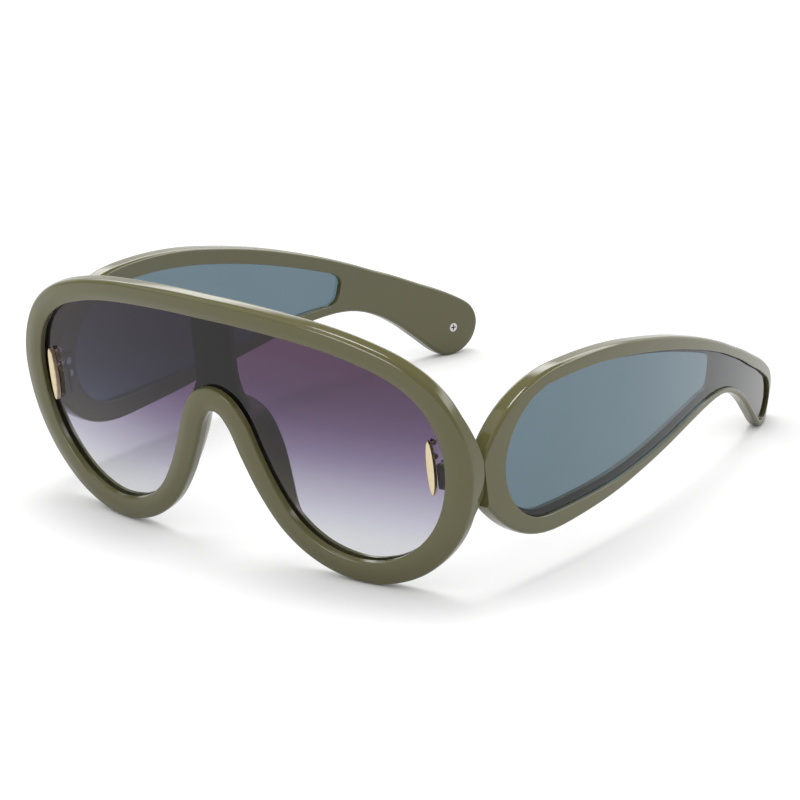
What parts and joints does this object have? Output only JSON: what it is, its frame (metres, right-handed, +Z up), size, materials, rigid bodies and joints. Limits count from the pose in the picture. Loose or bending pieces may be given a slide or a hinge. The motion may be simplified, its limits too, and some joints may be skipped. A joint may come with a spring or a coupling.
{
  "type": "oversized shield sunglasses",
  "caption": "Oversized shield sunglasses with a one-piece gradient lens in a thick glossy mask rim and wide teardrop folding temples with tinted inserts.",
  "frame": {"origin": "middle of the box round the glasses, on the ground that the rim and the temple tips stand on", "axes": "+X towards the wearer's left, +Y back along the temples, +Z up"},
  "size_m": [0.1448, 0.183, 0.0688],
  "materials": {
    "olive_plastic": "glossy solid olive",
    "shield_tint": "purple-grey at the top, nearly clear at the bottom",
    "insert_tint": "glossy blue-grey see-through sheet",
    "gilt": "polished pale gold",
    "hinge_metal": "dark satin metal",
    "small_steel": "bright satin steel"
  },
  "bodies": {
    "front": {"front_frame": "olive_plastic", "shield_lens": "shield_tint", "badge_left": "gilt", "badge_right": "gilt", "badge_clips_left": "small_steel", "badge_clips_right": "small_steel", "front_hinge_left": "hinge_metal", "front_hinge_right": "hinge_metal", "front_hinge_rivets_left": "small_steel", "front_hinge_rivets_right": "small_steel", "hinge_screw_left": "small_steel", "hinge_screw_right": "small_steel"},
    "temple_left": {"temple_arm_left": "olive_plastic", "temple_lens_left": "insert_tint", "temple_hinge_left": "hinge_metal", "temple_hinge_rivets_left": "small_steel", "tip_screw_left": "small_steel"},
    "temple_right": {"temple_arm_right": "olive_plastic", "temple_lens_right": "insert_tint", "temple_hinge_right": "hinge_metal", "temple_hinge_rivets_right": "small_steel", "tip_screw_right": "small_steel"}
  },
  "joints": [
    {"name": "temple_fold_left", "type": "hinge", "parent": "front", "child": "temple_left", "pos_m": [0.06352, -0.07091, 0.03167], "axis": [0, -0.1599, 0.9871], "range_deg": [0, 88]},
    {"name": "temple_fold_right", "type": "hinge", "parent": "front", "child": "temple_right", "pos_m": [-0.06352, -0.07091, 0.03167], "axis": [0, 0.1599, -0.9871], "range_deg": [0, 80]}
  ]
}
